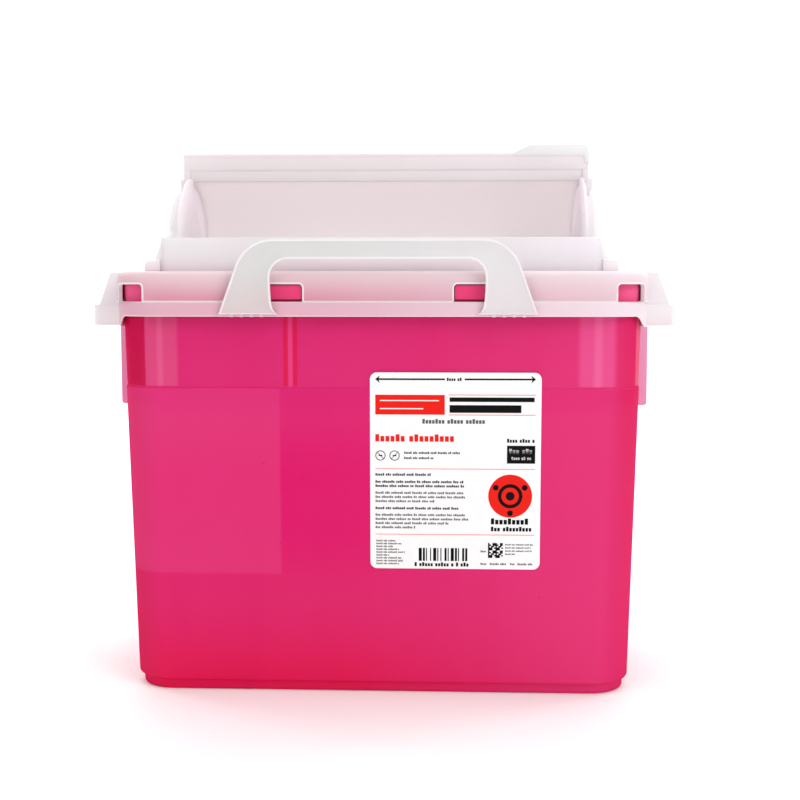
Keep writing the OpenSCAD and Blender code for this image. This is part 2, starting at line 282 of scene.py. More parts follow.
class Nodes:
    """Short calls for building a node tree."""

    def __init__(self, name):
        self.material = bpy.data.materials.new(name)
        self.material.use_nodes = True
        self.tree = self.material.node_tree
        self.shader = self.tree.nodes["Principled BSDF"]
        self.place = self.new("TexCoord").outputs["Object"]

    def link(self, out, socket):
        self.tree.links.new(out, socket)

    def new(self, kind):
        return self.tree.nodes.new("ShaderNode" + kind)

    def fill(self, socket, value):
        """Sets a constant straight on a socket, or links another node's output to it."""
        if isinstance(value, (int, float, tuple)):
            socket.default_value = value
        else:
            self.link(value, socket)

    def noise(self, scale, detail=3.0, stretch=None):
        vector = self.place
        if stretch:
            mapping = self.new("Mapping")
            mapping.inputs["Scale"].default_value = stretch
            self.link(self.place, mapping.inputs["Vector"])
            vector = mapping.outputs["Vector"]
        node = self.new("TexNoise")
        node.inputs["Scale"].default_value = scale
        node.inputs["Detail"].default_value = detail
        self.link(vector, node.inputs["Vector"])
        return node.outputs["Fac"]

    def math(self, operation, a, b=0.0):
        node = self.new("Math")
        node.operation = operation
        for socket, value in zip(node.inputs, (a, b)):
            self.fill(socket, value)
        return node.outputs[0]

    def spread(self, value, from_low, from_high, to_low, to_high, smooth=False):
        node = self.new("MapRange")
        node.interpolation_type = "SMOOTHSTEP" if smooth else "LINEAR"
        self.link(value, node.inputs["Value"])
        names = ("From Min", "From Max", "To Min", "To Max")
        for key, number in zip(names, (from_low, from_high, to_low, to_high)):
            node.inputs[key].default_value = number
        return node.outputs["Result"]

    def axes(self):
        node = self.new("SeparateXYZ")
        self.link(self.place, node.inputs["Vector"])
        return node.outputs

    def mix(self, factor, a, b):
        node = self.new("Mix")
        node.data_type = "RGBA"
        node.clamp_factor = True
        for socket, value in ((node.inputs[0], factor), (node.inputs[6], a), (node.inputs[7], b)):
            self.fill(socket, value)
        return node.outputs[2]

    def between(self, value, low, high, soft):
        """Mask that is 1 between two bounds and fades to 0 over a soft edge, in millimetres."""
        low, high, soft = low * MM, high * MM, soft * MM
        rise = self.spread(value, low - soft, low + soft, 0.0, 1.0, True)
        fall = self.spread(value, high - soft, high + soft, 1.0, 0.0, True)
        return self.math("MULTIPLY", rise, fall)

    def over(self, factor, top):
        """Lays another shader over the base one and puts the mix on the surface output."""
        output = self.tree.nodes["Material Output"]
        below = output.inputs["Surface"].links[0].from_socket
        mix = self.new("MixShader")
        mix.inputs[0].default_value = factor
        self.link(below, mix.inputs[1])
        self.link(top, mix.inputs[2])
        self.link(mix.outputs[0], output.inputs["Surface"])

    def gloss(self, factor, roughness, normal):
        """A thin even sheen that doesn't flare at grazing angles."""
        node = self.new("BsdfGlossy")
        node.inputs["Roughness"].default_value = roughness
        self.link(normal, node.inputs["Normal"])
        self.over(factor, node.outputs[0])

    def glow(self, factor, colour, normal):
        """Light that comes through the thin wall."""
        node = self.new("BsdfTranslucent")
        self.link(colour, node.inputs["Color"])
        self.link(normal, node.inputs["Normal"])
        self.over(factor, node.outputs[0])

    def bump(self, height, strength, distance, normal=None):
        node = self.new("Bump")
        node.inputs["Strength"].default_value = strength
        node.inputs["Distance"].default_value = distance
        self.link(height, node.inputs["Height"])
        if normal is not None:
            self.link(normal, node.inputs["Normal"])
        return node.outputs["Normal"]


# Each strip is x from and to, soft edge, strength and tint: lighter strips near the corners are painted
# reflections, the dark one on the left corner is painted shade, and the last three draw the inner rib as two
# dark lines with a lighter one between
UPPER_WALL_PAINTED_LIGHT_AND_RIBS = (
    (-120.0, -103.0, 1.2, 0.75, (218, 76, 126)),
    (-113.5, -110.5, 1.0, 0.4, (230, 104, 150)),
    (-132.5, -120.0, 0.5, 0.9, (196, 0, 68)),
    (101.5, 119.5, 2.0, 0.75, (230, 84, 144)),
    (109.0, 113.0, 1.5, 0.4, (244, 116, 168)),
    (131.2, 135.0, 0.5, 0.7, (222, 104, 128)),
    (-48.6, -46.4, 0.3, 0.8, (218, 12, 68)),
    (-43.6, -41.4, 0.3, 0.8, (218, 12, 68)),
    (-46.0, -44.0, 0.4, 0.35, (240, 92, 144)),
)


def tub_plastic():
    """Magenta polypropylene, flow clouds and inner ribs, with painted shading, highlights and reflections."""
    n = Nodes("magenta_polypropylene")
    x, y, z = n.axes()
    front = n.spread(y, -0.048, -0.042, 1.0, 0.0)
    base = linear((224, 12, 74))
    # painted light: the wall's colour changes with height and gets paler to the right, where the key light
    # falls
    for axis, low, high, strength, tint in (
        (z, 0.0, 0.05, 1.0, (218, 28, 102)),
        (z, 0.05, 0.09, 1.0, (218, 4, 102)),
        (z, 0.11, 0.17, 1.0, (216, 40, 112)),
        (x, -0.03, 0.12, 0.85, (222, 52, 116)),
    ):
        base = n.mix(n.spread(axis, low, high, 0.0, strength, True), base, linear(tint))
    # painted shade: darker towards both ends of the tub
    ends = n.spread(n.math("ABSOLUTE", x), 0.112, 0.131, 0.0, 0.8, True)
    base = n.mix(ends, base, linear((210, 30, 84)))
    cloud = n.noise(9.0, 3.0)
    base = n.mix(n.spread(cloud, 0.35, 0.7, 0.0, 0.25), base, linear((220, 40, 112)))
    flow = n.noise(40.0, 2.0, stretch=(1.0, 1.0, 0.05))
    base = n.mix(n.spread(flow, 0.45, 0.8, 0.0, 0.2), base, linear((210, 2, 92)))
    # painted reflection: a paler patch low on the left of the front wall, below the step
    painted_reflection = n.math("MULTIPLY", n.between(x, -200.0, -50.7, 0.8), n.between(z, 63.0, 159.5, 0.8))
    painted_reflection = n.math("MULTIPLY", front, painted_reflection)
    base = n.mix(n.math("MULTIPLY", painted_reflection, 0.4), base, linear((224, 66, 128)))
    # painted reflections and painted shade, on the front wall above the step only
    upper = n.math("MULTIPLY", front, n.spread(z, 0.1604, 0.1612, 0.0, 1.0))
    for low, high, soft, factor, tint in UPPER_WALL_PAINTED_LIGHT_AND_RIBS:
        strip = n.math("MULTIPLY", upper, n.between(x, low, high, soft))
        base = n.mix(n.math("MULTIPLY", strip, factor), base, linear(tint))
    # painted light: the rim seen through the snap windows is brighter, brightest in the corner windows
    rim = n.spread(z, 0.2015, 0.2035, 0.0, 1.0)
    base = n.mix(rim, base, linear((236, 70, 124)))
    base = n.mix(n.math("MULTIPLY", rim, ends), base, linear((248, 104, 152)))
    speck = n.noise(260.0, 1.0)
    base = n.mix(n.spread(speck, 0.8, 0.84, 0.0, 0.4), base, linear((150, 0, 60)))
    n.link(base, n.shader.inputs["Base Color"])
    n.link(n.spread(cloud, 0.3, 0.7, 0.35, 0.5), n.shader.inputs["Roughness"])
    n.shader.inputs["Specular IOR Level"].default_value = 0.0
    wave = n.bump(n.noise(16.0, 1.0), 0.1, 0.0006, n.bump(n.noise(1400.0, 2.0), 0.03, 0.0001))
    n.link(wave, n.shader.inputs["Normal"])
    n.gloss(0.014, 0.16, wave)
    return n.material


def milky_plastic(name, low, high, z_low, z_high, through=0.15, aside=0.3, haze=0.25):
    """Natural polypropylene, milky and a little translucent.

    Its colour goes from low to high between two heights in millimetres; aside paints the right side paler
    as painted light. Through is the share of light that passes the wall, and haze the strength of its clouds.
    """
    n = Nodes(name)
    x, _, z = n.axes()
    drift = n.spread(n.noise(9.0, 2.0), 0.3, 0.7, -0.0016, 0.0016)
    level = n.math("ADD", z, drift)
    base = n.mix(n.spread(level, z_low * MM, z_high * MM, 0.0, 1.0, True), linear(low), linear(high))
    # painted light: paler towards the right, where the key light falls
    painted_key_light = n.math("MULTIPLY", n.spread(x, -0.06, 0.15, 0.0, 1.0, True), aside)
    base = n.mix(painted_key_light, base, linear((250, 246, 250)))
    cloud = n.noise(22.0, 4.0)
    cloudy = linear(tuple(round(c * 0.97) for c in high))
    base = n.mix(n.spread(cloud, 0.4, 0.75, 0.0, haze), base, cloudy)
    n.link(base, n.shader.inputs["Base Color"])
    speck = n.noise(1100.0, 2.0)
    n.link(n.spread(speck, 0.3, 0.7, 0.36, 0.48), n.shader.inputs["Roughness"])
    skin = n.bump(n.noise(30.0, 1.0), 0.08, 0.0004, n.bump(n.noise(1800.0, 2.0), 0.06, 0.0001))
    n.link(skin, n.shader.inputs["Normal"])
    n.shader.inputs["Specular IOR Level"].default_value = 0.35
    n.glow(through, base, skin)
    return n.material


def film(name, rgb, roughness=0.35, sheen=0.3):
    """Printed label film or ink: slightly uneven colour under a satin varnish."""
    n = Nodes(name)
    cloud = n.noise(160.0, 3.0)
    darker = tuple(round(c * 0.985) for c in rgb)
    base = n.mix(n.spread(cloud, 0.35, 0.7, 0.0, 1.0), linear(rgb), linear(darker))
    n.link(base, n.shader.inputs["Base Color"])
    fine = n.spread(n.noise(700.0, 2.0), 0.3, 0.7, roughness - 0.05, roughness + 0.05)
    n.link(fine, n.shader.inputs["Roughness"])
    n.link(n.bump(n.noise(900.0, 2.0), 0.05, 0.0001), n.shader.inputs["Normal"])
    n.shader.inputs["Specular IOR Level"].default_value = sheen
    return n.material


def floor_paint():
    """Plain pale studio floor."""
    n = Nodes("studio_floor")
    dull, bright = (0.94, 0.94, 0.94, 1.0), (0.97, 0.97, 0.97, 1.0)
    base = n.mix(n.spread(n.noise(3.0), 0.3, 0.7, 0.0, 1.0), dull, bright)
    n.link(base, n.shader.inputs["Base Color"])
    n.shader.inputs["Roughness"].default_value = 0.7
    return n.material


TUB = tub_plastic()
RIB = film("rib_show_through", (222, 22, 74), 0.3)
# From the lid to the edge copy, the milky parts are one plastic in lighter and darker copies, each as white
# as its part is lit: painted light and shade. The pink of the lower lid, the band and the handle's foot is
# painted light from the magenta tub, and aside paints the right side paler.
LID = milky_plastic("milky_lid", (227, 157, 177), (237, 208, 214), 205.0, 219.0, 0.1, 0.5)
BAND = milky_plastic("milky_band", (230, 180, 196), (230, 182, 198), 196.0, 204.0, 0.1, 0.7)
EAR = milky_plastic("milky_ear", (254, 252, 253), (253, 248, 251), 190.0, 220.0, 0.2, 0.1)
CHUTE = milky_plastic("milky_chute", (249, 240, 243), (248, 245, 247), 219.0, 227.0, 0.3, 1.0)
DOOR = milky_plastic("milky_door", (255, 250, 251), (255, 250, 251), 236.0, 266.0, 0.36, 0.0, haze=0.1)
DRUM_END = milky_plastic("milky_drum_end", (255, 251, 253), (255, 249, 252), 226.0, 262.0, 0.44, 0.0)
CHEEK = milky_plastic("milky_cheek", (255, 254, 255), (255, 254, 255), 236.0, 256.0, 0.58, 0.0)
LEDGE = milky_plastic("milky_ledge", (254, 244, 248), (254, 250, 252), 219.0, 225.0, 0.05, 0.3)
LIP = milky_plastic("milky_lip", (250, 244, 245), (250, 243, 245), 275.0, 284.0, 0.2, 0.1)
TAB = milky_plastic("milky_tab", (250, 250, 249), (250, 250, 249), 276.0, 289.0, 0.15, 0.0)
HANDLE = milky_plastic("milky_handle", (230, 214, 216), (228, 227, 226), 197.0, 226.0, 0.15, 0.8)
# painted highlight: the whitest copy, for bright edges, window rims and the handle's bead
EDGE_HIGHLIGHT = milky_plastic("milky_edge_highlight", (252, 244, 248), (252, 248, 250), 196.0, 230.0)
RAIL = milky_plastic("thin_rail", (248, 164, 208), (249, 175, 219), 149.0, 192.0, 0.3, 0.2)


# ---------------- tub


def tub_ring(z, inset):
    """Ring round the tub at a height, set in from the lower wall's outer face."""
    level = max(z, 0.0)
    half_x = BASE_HALF_X + DRAFT * level - inset
    half_y = BASE_HALF_Y + DRAFT * level - inset
    return [(x, y, z) for x, y in plan_loop(half_x, half_y, max(TUB_R - inset, 1.0), side=8)]


def make_tub():
    """One closed skin: underside, foot ring, outer wall with its step, rim and inner wall."""
    rings = [tub_ring(FOOT_H, FOOT_IN + TUB_WALL)]
    rings += [tub_ring(0.7, FOOT_IN + TUB_WALL), tub_ring(0.0, FOOT_IN + TUB_WALL - 0.6)]
    foot_r, lower_r, half = 1.2, 1.5, TUB_WALL / 2
    rings += [tub_ring(foot_r * (1 - math.cos(a)), FOOT_IN + foot_r * (1 - math.sin(a)))
              for a in quarter(4)]
    rings += [tub_ring(FOOT_H - drop, FOOT_IN - out) for drop, out in ((1.0, 0.0), (0.3, 0.3), (0.0, 1.0))]
    rings += [tub_ring(FOOT_H + lower_r * (1 - math.cos(a)), lower_r * (1 - math.sin(a)))
              for a in quarter(4)]
    rings += [tub_ring(FOOT_H + 4 + (STEP_Z - 4.8 - FOOT_H) * k / 10, 0.0) for k in range(10)]
    rings += [tub_ring(STEP_Z - 0.6, 0.0), tub_ring(STEP_Z - 0.2, 0.08), tub_ring(STEP_Z, 0.3),
              tub_ring(STEP_Z + 0.15, STEP_IN), tub_ring(STEP_Z + 0.8, STEP_IN)]
    rings += [tub_ring(STEP_Z + (RIM_Z - STEP_Z) * k / 5, STEP_IN) for k in range(1, 5)]
    rings += [tub_ring(RIM_Z - half + half * math.sin(a), STEP_IN + half - half * math.cos(a))
              for a in [math.radians(k * 30) for k in range(7)]]
    inner = STEP_IN + TUB_WALL
    rings += [tub_ring(z, inner) for z in (190.0, STEP_Z, 120.0, 80.0, 40.0)]
    floor_z, round_in = FOOT_H + 2.0, 4.0
    rings += [tub_ring(floor_z + round_in * (1 - math.sin(a)), TUB_WALL + round_in * (1 - math.cos(a)))
              for a in quarter(4)]
    tub = loft("tub", rings, TUB, cap_start=True, cap_end=True, angle=50.0)
    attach(tub, "container")
    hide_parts("container_shell", "foot_ring")
    return tub


make_tub()


# ---------------- lid


SKIRT_WALL = 1.6
SKIRT_R, DOME_R = TUB_R + 5.0, TUB_R + 2.0
DOME_X, DOME_Y = dome_high.x, (dome_high.y - dome_low.y) / 2
SKIRT_X, SKIRT_Y = skirt_high.x, (skirt_high.y - skirt_low.y) / 2


def skirt_edge(x):
    """Height of the skirt's lower edge at a distance from the middle: it dips round the corners."""
    return SKIRT_Z + (EAR_Z - SKIRT_Z) * smooth_step((abs(x) - 130.3) / 5.2)


def lid_ring(half_x, half_y, r, z, follow=False):
    """Ring of the lid; follow drops it with the skirt's lower edge."""
    loop = plan_loop(half_x, half_y, r, side=10, corner=20)
    if not follow:
        return [(x, y, z) for x, y in loop]
    return [(x, y, z + skirt_edge(x) - SKIRT_Z) for x, y in loop]


def make_lid():
    """One closed skin round the skirt, shelf, dome, deck and its opening, with the snap windows cut out."""
    seat_x, seat_y = SKIRT_X - SKIRT_WALL, BASE_HALF_Y + DRAFT * BAND_Z - 0.1
    mouth_x, mouth_y = 110.0, 37.0
    rings = []

    def skirt(off, z, follow=False):
        rings.append(lid_ring(SKIRT_X - off, SKIRT_Y - off, SKIRT_R - off, z, follow))

    def shelf(off, z):
        rings.append(lid_ring(SKIRT_X, SKIRT_Y - off, SKIRT_R - off, z))

    def dome(off, z):
        rings.append(lid_ring(DOME_X - off, DOME_Y - off, DOME_R - off, z))

    skirt(SKIRT_WALL, SKIRT_Z + 0.5, True)
    skirt(SKIRT_WALL - 0.3, SKIRT_Z, True)
    skirt(0.3, SKIRT_Z, True)
    skirt(0.0, SKIRT_Z + 0.4, True)
    skirt(0.0, SKIRT_Z + 1.1, True)
    skirt(0.0, SKIRT_Z + 3.6)
    skirt(0.0, BAND_Z - 0.8)
    shelf(0.2, BAND_Z - 0.25)
    shelf(0.8, BAND_Z)
    dome(-0.6, BAND_Z)
    dome(-0.15, BAND_Z + 0.15)
    dome(0.0, BAND_Z + 0.6)
    for k in range(3):
        dome(0.0, BAND_Z + 3 + k * 3)
    top_r = 3.6
    for a in quarter(6):
        dome(top_r * (1 - math.cos(a)), DECK_Z - top_r * (1 - math.sin(a)))
    mouth_loop = plan_loop(mouth_x, mouth_y, 4.0, centre_y=PIVOT_Y, side=10, corner=20)
    outer_loop = plan_loop(DOME_X - 6, DOME_Y - 6, DOME_R - 6, side=10, corner=20)
    for t in (0.0, 0.5, 1.0):
        rings.append([(a[0] + (b[0] - a[0]) * t, a[1] + (b[1] - a[1]) * t, DECK_Z)
                      for a, b in zip(outer_loop, mouth_loop)])
    rings.append([(x, y, DECK_Z - LID_WALL) for x, y in mouth_loop])
    dome(LID_WALL + 1.0, DECK_Z - LID_WALL)
    dome(LID_WALL, DECK_Z - LID_WALL - 1.0)
    dome(LID_WALL, BAND_Z + 1.0)
    rings.append(lid_ring(seat_x, seat_y, TUB_R, BAND_Z - 0.2))
    rings.append(lid_ring(seat_x, seat_y, TUB_R, BAND_Z - LID_WALL))
    rings.append(lid_ring(seat_x, SKIRT_Y - SKIRT_WALL - 0.6, SKIRT_R - SKIRT_WALL, BAND_Z - LID_WALL))
    skirt(SKIRT_WALL, BAND_Z - LID_WALL - 0.6)
    lid = loft("lid", rings, LID, closed=True)
    return cut(lid, *window_cutters())


def on_dome(s, z, lift, side, back):
    """A point on the dome's upright wall: s along it from the middle of a long side, lifted off the face."""
    flat = DOME_X - DOME_R
    if s <= flat:
        x, y = s, DOME_Y + lift
    else:
        a = (s - flat) / DOME_R
        x, y = flat + (DOME_R + lift) * math.sin(a), DOME_Y - DOME_R + (DOME_R + lift) * math.cos(a)
    return (side * x, MID_Y + (y if back else -y), z)


WINDOW_Z = (BAND_Z + 0.1, 212.7)
WINDOW_SPANS = ((38.0, 62.0), (119.7, 138.6))
WINDOW_R = 1.9


def window_path(s0, s1, grow=0.0):
    """Path up one side of a window, over its round top corners and down the other side, grown outwards."""
    z0, z1, r = WINDOW_Z[0], WINDOW_Z[1] + grow, WINDOW_R + grow
    s0, s1 = s0 - grow, s1 + grow
    path = [(s1, z0), (s1, (z0 + z1 - r) / 2)] + arc(s1 - r, z1 - r, r, 0, 90, 6)
    path += [(s1 - r + (s0 + 2 * r - s1) * k / 8, z1) for k in range(1, 8)]
    return path + arc(s0 + r, z1 - r, r, 90, 180, 6) + [(s0, (z0 + z1 - r) / 2), (s0, z0)]


def window_cutters():
    """Cutters for the round-cornered snap windows: two in each long wall and one round each corner."""
    cutters = []
    for back in (False, True):
        for side in (-1, 1):
            for s0, s1 in WINDOW_SPANS:
                path = window_path(s0, s1)
                foot = [(s0 + (s1 - s0) * k / 8, WINDOW_Z[0]) for k in range(1, 8)]
                rings = [[on_dome(s, z, lift, side, back) for s, z in path + foot] for lift in (-4.0, 2.0)]
                cutters.append(loft("cutter", rings, LID, cap_start=True, cap_end=True))
    return cutters


def add_window_rims():
    """The raised rim round each snap window, open at its foot where it meets the band, painted bright as a
    highlight.
    """
    section = [(-0.1, -1.85), (-0.12, 0.1), (0.06, 0.24), (0.35, 0.3), (0.65, 0.22), (0.85, -0.05)]
    section += [(0.85, -1.0), (0.35, -1.85)]
    rims = []
    for back in (False, True):
        for side in (-1, 1):
            for s0, s1 in WINDOW_SPANS:
                rings = [[on_dome(s, z, lift, side, back) for s, z in window_path(s0, s1, grow)]
                         for grow, lift in section]
                stations = [[ring[k] for ring in rings] for k in range(len(rings[0]))]
                rims.append(loft("rim", stations, EDGE_HIGHLIGHT, cap_start=True, cap_end=True))
    rims = join("window_rims", rims)
    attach(rims, "container")


def paint_lid(lid):
    """Band and painted highlights: the skirt's lower edge and the band's upper edge are painted whiter."""
    lid.data.materials.append(BAND)
    lid.data.materials.append(EDGE_HIGHLIGHT)
    for polygon in lid.data.polygons:
        centre, normal = polygon.center / MM, polygon.normal
        foot = skirt_edge(centre.x)
        if centre.z < foot + 0.55 or (abs(centre.z - BAND_Z) < 0.5 and normal.z > 0.3):
            polygon.material_index = 2
        elif centre.z < BAND_Z + 0.2:
            polygon.material_index = 1


def finish_lid():
    lid = make_lid()
    paint_lid(lid)
    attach(lid, "container")
    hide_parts("lid_skirt", "lid_dome")
    add_window_rims()


finish_lid()


EAR_SHELF_Z = 202.3
EAR_PLAN_R = 3.4


def ear_shell(name, side, t):
    """The tray of a grip ear, shrunk by t for its hollow, with round outer corners and a rounded top edge."""
    inner, outer = SKIRT_X - 1.2, ear_high.x - t
    y0, y1 = ear_low.y + t, ear_high.y - t
    r, edge = EAR_PLAN_R - t * 0.6, 1.1 - t * 0.4
    top, low = EAR_SHELF_Z - t, EAR_Z - (2.0 if t else 0.0)

    def plan(off):
        loop = [(inner, y0 + off), *arc(outer - r, y0 + r, r - off, 270, 360, 8),
                *arc(outer - r, y1 - r, r - off, 0, 90, 8), (inner, y1 - off)]
        return [(side * x, y) for x, y in loop]

    rings = [[(x, y, low) for x, y in plan(0.3)], [(x, y, low + 0.3) for x, y in plan(0.0)]]
    for a in quarter(6):
        rings.append([(x, y, top - edge * (1 - math.sin(a))) for x, y in plan(edge * (1 - math.cos(a)))])
    return loft(name, rings, EAR, cap_start=True, cap_end=True)


def ear_block(name, side, t):
    """The slanted block that ties an ear to the deck, shrunk by t for its hollow."""
    r = 1.8
    inner, top = DOME_X - 1.0, DECK_Z - t
    foot_x, crown_x = 151.2 - t, 145.8 - t
    low = EAR_SHELF_Z - 1.0 - (1.5 if t else 0.0)
    outline = [(inner, low), (foot_x + 0.4, low), (foot_x, EAR_SHELF_Z + 0.2)]
    outline += arc(crown_x - r, top - r, r, 18, 90, 6) + [(inner, top)]
    outline = [(side * x, z) for x, z in outline]
    return prism(name, outline, ear_low.y + 0.4 + t, ear_high.y - 0.4 - t, "y", EAR)


def make_ear(side, name):
    """A grip ear: a downward-open tray with a slanted gusset block above it."""
    ear = cut(ear_shell("ear_" + name, side, 0.0), ear_shell("cutter", side, LID_WALL))
    upper = soften(cut(ear_block("ear_block", side, 0.0), ear_block("cutter", side, LID_WALL)), 0.5, 3)
    ear = join("ear_" + name, [ear, upper])
    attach(ear, "container")
    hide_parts("grip_ear_" + name)


make_ear(-1, "left")
make_ear(1, "right")


def make_ledge(side, name):
    """The low round-topped ledge between the chute and the deck's end."""
    x0, x1 = front_wall_high.x, ledge_high.x
    y0, y1 = ledge_low.y, ledge_high.y
    r = 3.0
    outline = [(x0, DECK_Z), (x1, DECK_Z)] + arc(x1 - r, ledge_high.z - r, r, 0, 90, 6) + [(x0, ledge_high.z)]
    ledge = prism("ledge_" + name, [(side * x, z) for x, z in outline], y0, y1, "y", LEDGE)
    soften(ledge, 0.9, 3)
    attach(ledge, "container")
    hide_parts("end_ledge_" + name)


make_ledge(-1, "left")
make_ledge(1, "right")


# ---------------- chute


CHUTE_SIDE_Z = 240.6
CHUTE_RISE = 24.0
CHUTE_WALL = 1.8
CHUTE_R = 5.0


def wall_top(x, y):
    """Height of the chute wall's upper edge: level in front, rising along the sides, round over the hub."""
    front = front_wall_high.z
    if abs(x) < front_wall_high.x - 5:
        return front
    from_pivot = abs(y - PIVOT_Y)
    reach = PIVOT_Y - front_wall_low.y
    sill = front + (CHUTE_SIDE_Z - front) * smooth_step((reach - from_pivot) / CHUTE_RISE)
    hub_r = cheek_high.z - PIVOT_Z
    hub = PIVOT_Z + math.sqrt(max(hub_r**2 - from_pivot**2, 0.0))
    return max(sill, hub)


def chute_ring(off, kind):
    """Ring round the chute's walls: its foot, or its upper edge at a small drop."""
    centre = (front_wall_low.y + back_wall_high.y) / 2
    half_y = (back_wall_high.y - front_wall_low.y) / 2
    loop = plan_loop(front_wall_high.x - off, half_y - off, CHUTE_R - off, centre, corner=8, side=72)
    edge = plan_loop(front_wall_high.x, half_y, CHUTE_R, centre, corner=8, side=72)
    if kind == "foot":
        return [(x, y, DECK_Z) for x, y in loop]
    return [(x, y, wall_top(ex, ey) - kind) for (x, y), (ex, ey) in zip(loop, edge)]


def make_chute():
    """One wall round the chute, with the hub housings rising at both ends and a bore for each trunnion."""
    edge = [(0.0, 0.6), (0.18, 0.18), (0.6, 0.0)]
    edge += [(CHUTE_WALL - off, drop) for off, drop in reversed(edge)]
    steps = [(0.0, "foot"), *edge, (CHUTE_WALL, "foot")]
    rings = [chute_ring(off, drop) for off, drop in steps]
    chute = loft("chute", rings, CHUTE, closed=True)
    bore_r = (axle_high.z - axle_low.z) / 2 + 0.05
    cutters = []
    for side in (-1, 1):
        x0, x1 = sorted((side * (front_wall_high.x - 4), side * (front_wall_high.x + 3)))
        cutters.append(prism("cutter", arc(PIVOT_Y, PIVOT_Z, bore_r, 0, 352.5, 47), x0, x1, "x", CHUTE))
    cut(chute, *cutters)
    # painted light: the hub housings and the webs get a whiter, more translucent copy where they sit in shade
    chute.data.materials.append(CHEEK)
    for polygon in chute.data.polygons:
        centre = polygon.center / MM
        if abs(centre.x) > front_wall_high.x - 2.5 and centre.z > ledge_high.z:
            polygon.material_index = 1
    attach(chute, "container")
    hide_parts("chute_front_wall", "chute_back_wall", "cheek_left", "cheek_right")
    for side, name in ((-1, "left"), (1, "right")):
        foot = front_wall_high.x - 0.3
        low = ledge_high.z - 0.4
        outline = [(foot, low), (foot + 3.9, low), (foot + 3.4, low + 1.2), (foot, front_wall_high.z - 0.6)]
        web = prism("chute_web_" + name, [(side * x, z) for x, z in outline],
                    front_wall_low.y + 4.5, front_wall_low.y + 6.5, "y", CHEEK)
        soften(web, 0.4, 2)
        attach(web, "container")


make_chute()


# ---------------- drum door


def make_drum():
    """The trough: round outside, with its inside filleted into the two ends."""
    half = drum_high.x - 1.0
    wall, fillet = 1.6, 3.0
    r_out, r_in = DRUM_R, DRUM_R - wall
    arc_from, arc_to, steps = 90.0, -160.0, 56
    stations = []
    for a in quarter(8):
        stations.append((half - 1.0 - fillet * (1 - math.sin(a)), r_in - fillet * (1 - math.cos(a))))
    stations = [(-x, r) for x, r in reversed(stations)] + [(x, r) for x, r in stations]
    stations.sort()
    verts, faces = [], []
    angles = [math.radians(arc_from + (arc_to - arc_from) * k / steps) for k in range(steps + 1)]
    for x, r in stations:
        for a in angles:
            verts.append((x, PIVOT_Y + r * math.cos(a), PIVOT_Z + r * math.sin(a)))
    inner_count = len(verts)
    for x, _ in stations:
        for a in angles:
            verts.append((x, PIVOT_Y + r_out * math.cos(a), PIVOT_Z + r_out * math.sin(a)))
    row = steps + 1
    for base in (0, inner_count):
        for i in range(len(stations) - 1):
            for k in range(steps):
                a = base + i * row + k
                faces.append((a, a + 1, a + row + 1, a + row))
    last = (len(stations) - 1) * row
    for i in range(len(stations) - 1):
        for k in (0, steps):
            a = i * row + k
            faces.append((a, a + row, inner_count + a + row, inner_count + a))
    for k in range(steps):
        for base in (0, last):
            faces.append((base + k, base + k + 1, inner_count + base + k + 1, inner_count + base + k))
    drum = new_piece("drum", verts, faces, DOOR)
    soften(drum, 0.5, 3)
    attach(drum, "door")
    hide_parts("drum_shell")


make_drum()


def make_drum_end(side, name):
    """A round end with a raised rim and a hub ring, and the stub that turns in the cheek."""
    x_in, x_out = drum_low.x, drum_high.x
    profile = [(x_in, 0.01), (x_in, 19.2), (x_in + 0.35, 19.6), (x_in + 0.35, 20.4), (x_in, 20.8)]
    profile += [(x_in, DRUM_R - 0.8), (x_in + 0.3, DRUM_R - 0.15), (x_in + 0.8, DRUM_R)]
    profile += [(x_out - 0.8, DRUM_R), (x_out - 0.3, DRUM_R - 0.15), (x_out, DRUM_R - 0.8)]
    profile += [(x_out, DRUM_R - 2.6), (x_out - 0.6, DRUM_R - 3.2), (x_out - 0.6, 12.0), (x_out, 11.2)]
    profile += [(x_out, 0.01)]
    end = spin("drum_end_" + name, profile, side, DRUM_END)
    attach(end, "door")
    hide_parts("drum_end_" + name)
    r = (axle_high.z - axle_low.z) / 2
    tip = axle_high.x
    profile = [(x_out, 0.01), (x_out, r), (tip - 0.8, r), (tip - 0.25, r - 0.2), (tip, r - 0.8)]
    profile += [(tip, 4.2), (tip - 0.4, 3.9), (tip - 3.5, 3.7), (tip - 3.6, 0.01)]
    stub = spin("trunnion_cap_" + name, profile, side, DRUM_END)
    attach(stub, "door")
    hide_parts("trunnion_" + name)


def spin(name, profile, side, material, steps=72):
    """Turns a profile of (x, radius) points round the drum's axis."""
    rings = []
    for x, r in profile:
        rings.append([(side * x, PIVOT_Y + r * math.cos(a), PIVOT_Z + r * math.sin(a))
                      for a in [2 * math.pi * k / steps for k in range(steps)]])
    return loft(name, rings, material, cap_start=True, cap_end=True, angle=40.0)


make_drum_end(-1, "left")
make_drum_end(1, "right")


RIM_BEAD = 1.9
BEAD_OUT = 0.4
END_RIB = 3.4


